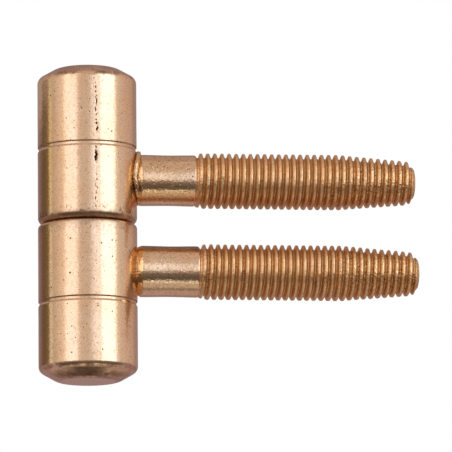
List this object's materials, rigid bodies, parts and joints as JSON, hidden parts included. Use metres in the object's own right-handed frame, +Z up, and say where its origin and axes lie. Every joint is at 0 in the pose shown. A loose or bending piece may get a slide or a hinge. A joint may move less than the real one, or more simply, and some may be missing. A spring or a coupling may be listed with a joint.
{
  "type": "screw-in hinge",
  "caption": "Lift-off barrel hinge with a threaded screw on the side of each barrel, for hanging a door or casement on its frame.",
  "frame": {"origin": "on the lower screw's axis, where its full thread starts: the point that meets the surface of the door frame", "axes": "+X along the lower screw towards its tip, +Z up along the hinge axis, from the lower half to the upper half"},
  "size_m": [0.054, 0.014, 0.0447],
  "materials": {
    "plated_barrel": "turned steel with a bright copper-gold plating",
    "plated_screw": "thread-rolled steel with the same plating, duller in the thread",
    "axle_steel": "bare ground steel"
  },
  "bodies": {
    "lower_half": {"lower_barrel": "plated_barrel", "lower_screw": "plated_screw"},
    "axle": {"axle": "axle_steel"},
    "upper_half": {"upper_barrel": "plated_barrel", "upper_screw": "plated_screw"}
  },
  "joints": [
    {"name": "swing", "type": "hinge", "parent": "lower_half", "child": "axle", "pos_m": [-0.0165, 0, 0.00653], "axis": [0, 0, 1], "continuous": true},
    {"name": "lift_off", "type": "slide", "parent": "axle", "child": "upper_half", "axis": [0, 0, 1], "range_m": [0, 0.02]}
  ]
}
